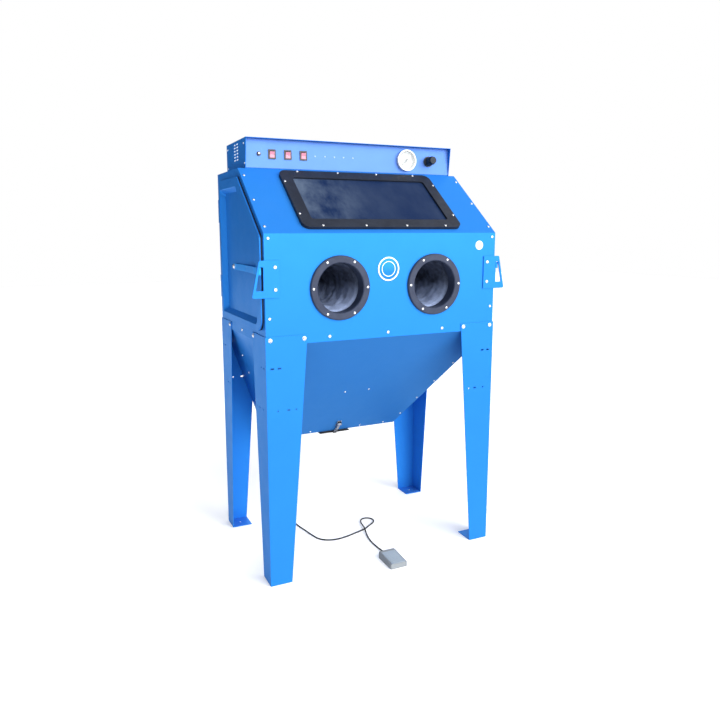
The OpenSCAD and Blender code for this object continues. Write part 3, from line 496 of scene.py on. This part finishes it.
def head_shape(seg=24):
    """Pan head of radius 1 and height 1 with a cross recess."""
    prof = [(1.0, 0.0), (1.0, 0.42), (0.96, 0.64), (0.88, 0.80), (0.76, 0.92), (0.62, 0.99)]
    v, f = lathe(prof, seg)
    v = [Vector(p) for p in v]
    top = list(range((len(prof) - 1) * seg, len(prof) * seg))
    a, w = 0.50, 0.115
    arm = [(a, -w), (a, w), (w, w)]
    plus = [(x * u - y * t, y * u + x * t) for x, y in ((1, 0), (0, 1), (-1, 0), (0, -1)) for u, t in arm]
    bm = bmesh.new()
    bv = [bm.verts.new(p) for p in v]
    for q in f:
        bm.faces.new([bv[i] for i in q])
    hi = [bm.verts.new((x, y, 1.0)) for x, y in plus]
    lo = [bm.verts.new((x * 0.72, y * 0.72, 0.42)) for x, y in plus]
    ring = [bm.edges.get((bv[top[k]], bv[top[(k + 1) % seg]])) for k in range(seg)]
    inner = [bm.edges.new((hi[k], hi[(k + 1) % 12])) for k in range(12)]
    bmesh.ops.triangle_fill(bm, edges=ring + inner, use_beauty=True)
    for k in range(12):
        bm.faces.new((hi[k], lo[k], lo[(k + 1) % 12], hi[(k + 1) % 12]))
    bm.faces.new(lo)
    bmesh.ops.recalc_face_normals(bm, faces=bm.faces)
    bm.verts.index_update()
    out = [p.co.copy() for p in bm.verts], [tuple(p.index for p in q.verts) for q in bm.faces]
    bm.free()
    return out


def screws(node, name):
    shape = head_shape()
    parts = []
    for pts, faces in islands(N[node]):
        total = {}
        for n, a in faces:
            k = tuple(round(c, 2) for c in n)
            total[k] = total.get(k, 0) + a
        axis = -Vector(max(total, key=total.get)).normalized()
        q = axis.to_track_quat("Z", "Y").to_matrix()
        u, w = q.col[0], q.col[1]
        cu = (max(p @ u for p in pts) + min(p @ u for p in pts)) / 2
        cw = (max(p @ w for p in pts) + min(p @ w for p in pts)) / 2
        top = max(p @ axis for p in pts)
        r = max(p @ u for p in pts) - cu
        h = 0.0026
        spin = Matrix.Rotation(random.uniform(0, math.pi / 2), 4, "Z")
        place = Matrix.Translation(u * cu + w * cw + axis * (top - h))
        m = place @ q.to_4x4() @ spin @ Matrix.Diagonal((r, r, h, 1))
        parts.append(moved(shape, m))
    v, f = joined(parts)
    ob = creased(piece(name, v, f, "zinc"), 40)
    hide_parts(node)


screws("panel_screws", "sheet_screws")
screws("trim_screws", "trim_screw_heads")

# ------------------------------------------------------------------ gloves


def make_gloves():
    """Gauntlets clamped over the port collars: creased sleeve, palm and fingers."""
    seg, parts = 72, []
    for side in (-1, 1):
        v, f = [], []
        rows = 74
        stations = [(0.0, 0.0945), (0.06, 0.0945), (0.085, 0.092), (0.12, 0.0865), (0.2, 0.0855),
                    (0.35, 0.081), (0.5, 0.0775), (0.65, 0.0745), (0.78, 0.071), (0.88, 0.065),
                    (0.95, 0.053), (1.0, 0.030)]
        for i in range(rows):
            t = i / (rows - 1)
            j = max(k for k, s in enumerate(stations[:-1]) if s[0] <= t)
            (t0, r0), (t1, r1) = stations[j], stations[j + 1]
            w = (t - t0) / (t1 - t0)
            r = r0 + (r1 - r0) * (w * w * (3 - 2 * w))
            soft = min(1, max(0, (t - 0.10) / 0.12))
            flat = min(1, max(0, (t - 0.62) / 0.3))
            y = -0.2905 + 0.40 * t
            for k in range(seg):
                a = 2 * math.pi * k / seg
                c, s = math.cos(a), math.sin(a)
                q = Vector((c * 2.2, s * 2.2, t * 9 + side * 3))
                fold = noise.noise(q) * 0.6 + noise.noise(q * 2.3) * 0.3
                ring = math.sin(t * 46 + 1.6 * noise.noise(q * 0.7) * 3) * 0.22
                rr = r * (1 - soft * 0.085 * (1 + fold * 0.9 + ring * 0.7))
                x = rr * c
                z = rr * s * (1 - 0.45 * flat) - 0.007 * soft * t
                v.append((side * 0.193 + x, y, 1.07 + z))
            if i:
                f += band(i, seg)
        f.append(tuple(range((rows - 1) * seg, rows * seg)))
        parts.append((v, f))
        fingers = [(-0.033, -0.10, 0.072, 0.0105), (-0.011, -0.03, 0.082, 0.011),
                   (0.011, 0.04, 0.078, 0.011), (0.032, 0.11, 0.064, 0.010), (0.040, 0.75, 0.050, 0.0115)]
        for n, (dx, ang, length, r) in enumerate(fingers):
            start = Vector((side * (0.193 + dx * (1 if n < 4 else -1.0)), 0.095 if n < 4 else 0.055, 1.063))
            d = Vector((side * math.sin(ang) * (1 if n < 4 else -1), math.cos(ang), -0.10)).normalized()
            q = d.to_track_quat("Z", "Y")
            fv, ff = [], []
            prof = [(0, 1.05), (0.2, 1.02), (0.4, 1.0), (0.44, 0.93), (0.48, 1.0), (0.7, 0.96),
                    (0.74, 0.9), (0.78, 0.94), (0.9, 0.86), (0.97, 0.6), (1.0, 0.2)]
            for i, (t, w) in enumerate(prof):
                for k in range(16):
                    a = 2 * math.pi * k / 16
                    rim = q @ Vector((w * r * math.cos(a), w * r * math.sin(a), 0))
                    fv.append(start + d * t * length + rim + Vector((0, 0, -0.006 * t * t)))
                if i:
                    ff += band(i, 16)
            ff.append(tuple(range((len(prof) - 1) * 16, len(prof) * 16)))
            parts.append((fv, ff))
    v, f = joined(parts)
    ob = piece("glove_pair", v, f, "glove_rubber")
    s = ob.modifiers.new("thickness", "SOLIDIFY")
    s.thickness = 0.0016
    s.offset = -1
    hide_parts("gloves")


make_gloves()

# ------------------------------------------------------------------ gauge, marks and badges


def dial():
    parts = []
    base = FASCIA @ Matrix.Translation((0.236, 0.054, 0.00384))
    for k in range(51):
        a = math.radians(225 - 270 * k / 50)
        r0, r1, w = (0.0275, 0.0335, 0.00055) if k % 5 == 0 else (0.0305, 0.0335, 0.00025)
        u, n = Vector((math.cos(a), math.sin(a), 0)), Vector((-math.sin(a), math.cos(a), 0))
        quad = [u * r0 - n * w, u * r1 - n * w, u * r1 + n * w, u * r0 + n * w]
        parts.append(moved((quad, [(0, 1, 2, 3)]), base))
    ring = []
    for k in range(91):
        a = math.radians(225 - 270 * k / 90)
        ring += [Vector((r * math.cos(a), r * math.sin(a), 0)) for r in (0.0335, 0.0340)]
    parts.append(moved((ring, [(2 * k, 2 * k + 1, 2 * k + 3, 2 * k + 2) for k in range(90)]), base))
    for k in range(6):
        a = math.radians(225 - 54 * k)
        cu = bpy.data.curves.new("n", "FONT")
        cu.body = str(2 * k)
        cu.size = 0.0072
        cu.align_x = cu.align_y = "CENTER"
        tmp = bpy.data.objects.new("n", cu)
        scene.collection.objects.link(tmp)
        bpy.context.view_layer.update()
        me = bpy.data.meshes.new_from_object(tmp)
        at = base @ Matrix.Translation((0.0225 * math.cos(a), 0.0225 * math.sin(a), 0))
        parts.append(([at @ p.co for p in me.vertices], [tuple(p.vertices) for p in me.polygons]))
        bpy.data.objects.remove(tmp)
        bpy.data.curves.remove(cu)
    v, f = joined(parts)
    piece("dial_marks", v, f, "ink", smooth=False, slot="black_plastic")


dial()


def disc(name, m, r, t, mat, slot="gauge_white"):
    v, f = lathe([(0.0, t), (r - t, t), (r, t * 0.4), (r, 0)], 64)
    v, f = moved((v, f), m)
    return creased(piece(name, v, f, mat, slot=slot))


BADGE = Matrix.Translation((0, -0.3001, 1.132)) @ UPRIGHT
disc("round_plate", BADGE, 0.046, 0.0006, "blue_paint")
v, f = joined([lathe([(a, 0.0006), (a, 0.0009), (b, 0.0009), (b, 0.0006)], 64)
               for a, b in ((0.0385, 0.0432), (0.0255, 0.0278))])
creased(piece("round_plate_rings", *moved((v, f), BADGE), "badge", slot="gauge_white"))
SMALL = Matrix.Translation((0.396, -0.3001, 1.2127)) @ UPRIGHT
disc("small_plate", SMALL, 0.017, 0.0006, "badge")
ring = lathe([(0.0115, 0.0006), (0.0115, 0.0008), (0.0128, 0.0008), (0.0128, 0.0006)], 48)
piece("small_plate_ring", *moved(ring, SMALL), "ink", slot="black_plastic")

parts = []
for x in (-163, -122, -82, -43, -3):
    parts.append(moved(lathe([(0.0, 0.0008), (0.0026, 0.0008), (0.0032, 0.0)], 24),
                       FASCIA @ Matrix.Translation((x * MM, 0.054, 0.0001))))
piece("fascia_marks", *joined(parts), "fascia_mark", slot="gauge_white")

# ------------------------------------------------------------------ console details


def vent_pads():
    """Pale dust filter pads held just inside the slotted ends of the console; they glow, painted light that
    makes the slots read bright.
    """
    for side, name in ((-1, "vent_pad_left"), (1, "vent_pad_right")):
        v, n = [], 15
        for i in range(n):
            for j in range(n):
                y, z = 0.078 + 0.078 * i / (n - 1), 1.531 + 0.070 * j / (n - 1)
                fluff = 0.0008 * noise.noise(Vector((y * 160, z * 160, side)))
                v.append((side * (0.4390 + fluff), y, z))
        f = [(k, k + n, k + n + 1, k + 1) for i in range(n - 1) for k in range(i * n, i * n + n - 1)]
        ob = piece(name, v, f, "vent_pad", slot="lamp_white")
        s = ob.modifiers.new("thickness", "SOLIDIFY")
        s.thickness, s.offset = 0.004, -side


def fuse_cap():
    """White domed cap of the fuse, standing in its black ring."""
    prof = [(0.0, 0.0097), (0.0022, 0.0095), (0.0038, 0.0088), (0.0048, 0.0076), (0.0053, 0.0060),
            (0.0053, 0.0026)]
    part = moved(lathe(prof, 32), FASCIA @ Matrix.Translation((-0.388, 0.054, 0.0)))
    piece("fuse_cap", *part, "zinc")


vent_pads()
fuse_cap()

# ------------------------------------------------------------------ stage and light


def stage():
    bpy.ops.mesh.primitive_plane_add(size=30)
    floor = bpy.context.object
    floor.name = "floor"
    m = Mat("pale_floor", (0.88, 0.88, 0.88), 0.9, Specular_IOR_Level=0.1, Emission_Strength=0.22)
    m.p.inputs["Emission Color"].default_value = (1, 1, 1, 1)
    m.out(m.mix(m.noise(1.5, 3), (0.86, 0.86, 0.86), (0.90, 0.90, 0.90)), "Base Color")
    floor.data.materials.append(m.m)
    studio()


def studio():
    """White room: bright to the front right, dim to the back left, with a soft key and a rim light."""
    w = bpy.data.worlds.new("world")
    scene.world = w
    w.use_nodes = True
    t = w.node_tree
    bg = t.nodes["Background"]
    co = t.nodes.new("ShaderNodeTexCoord")
    dot = t.nodes.new("ShaderNodeVectorMath")
    dot.operation = "DOT_PRODUCT"
    dot.inputs[1].default_value = Vector((0.40, -0.88, 0.12)).normalized()
    ramp = t.nodes.new("ShaderNodeValToRGB")
    ramp.color_ramp.elements[0].position, ramp.color_ramp.elements[0].color = 0.40, (*DIM, 1)
    ramp.color_ramp.elements[1].position, ramp.color_ramp.elements[1].color = 0.85, (*BRIGHT, 1)
    half = t.nodes.new("ShaderNodeMath")
    half.operation = "MULTIPLY_ADD"
    half.inputs[1].default_value = half.inputs[2].default_value = 0.5
    path = t.nodes.new("ShaderNodeLightPath")
    mix = t.nodes.new("ShaderNodeMix")
    mix.data_type = "RGBA"
    mix.inputs["B"].default_value = (1, 1, 1, 1)
    t.links.new(co.outputs["Generated"], dot.inputs[0])
    t.links.new(dot.outputs["Value"], half.inputs[0])
    t.links.new(half.outputs[0], ramp.inputs["Fac"])
    t.links.new(path.outputs["Is Camera Ray"], mix.inputs["Factor"])
    t.links.new(ramp.outputs["Color"], mix.inputs["A"])
    t.links.new(mix.outputs["Result"], bg.inputs["Color"])
    suns = (("key", 4.4, 70, (-0.28, 0.90, -0.32)), ("rim", 1.2, 50, (-0.45, -0.75, -0.40)))
    for name, energy, angle, to in suns:
        sun = bpy.data.objects.new(name, bpy.data.lights.new(name, "SUN"))
        sun.data.energy = energy
        sun.data.angle = math.radians(angle)
        sun.rotation_euler = Vector(to).to_track_quat("-Z", "Y").to_euler()
        scene.collection.objects.link(sun)


DIM, BRIGHT = (0.13, 0.15, 0.19), (1.65, 1.65, 1.65)
stage()
